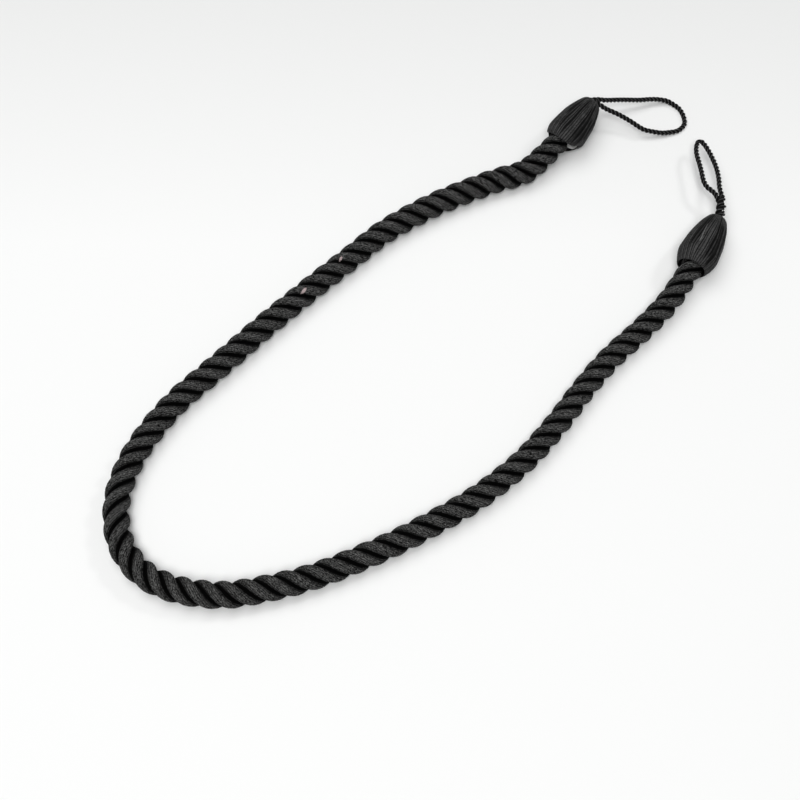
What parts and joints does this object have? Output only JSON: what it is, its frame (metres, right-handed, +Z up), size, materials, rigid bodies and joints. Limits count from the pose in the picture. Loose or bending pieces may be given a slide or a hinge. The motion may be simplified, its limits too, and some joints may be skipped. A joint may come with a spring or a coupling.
{
  "type": "twisted rope curtain tieback",
  "caption": "Curtain tieback of thick twisted black rope lying in an open U, with a thread-wound cap and a thin hanging loop at each end.",
  "frame": {"origin": "middle of the tieback's outline, on the surface it lies on", "axes": "+Z up from the surface, +X along the longest side of the outline, +Y away from the viewer"},
  "size_m": [0.2883, 0.265, 0.0195],
  "materials": {
    "rope_yarn": "matte yarn",
    "cap_thread": "satin thread",
    "loop_cord": "satin cord",
    "core_plastic": "matte"
  },
  "bodies": {
    "root": {"rope": "rope_yarn", "cap_left": "cap_thread", "core_left": "core_plastic", "cap_right": "cap_thread", "loop_left": "loop_cord", "loop_right": "loop_cord"}
  },
  "joints": []
}
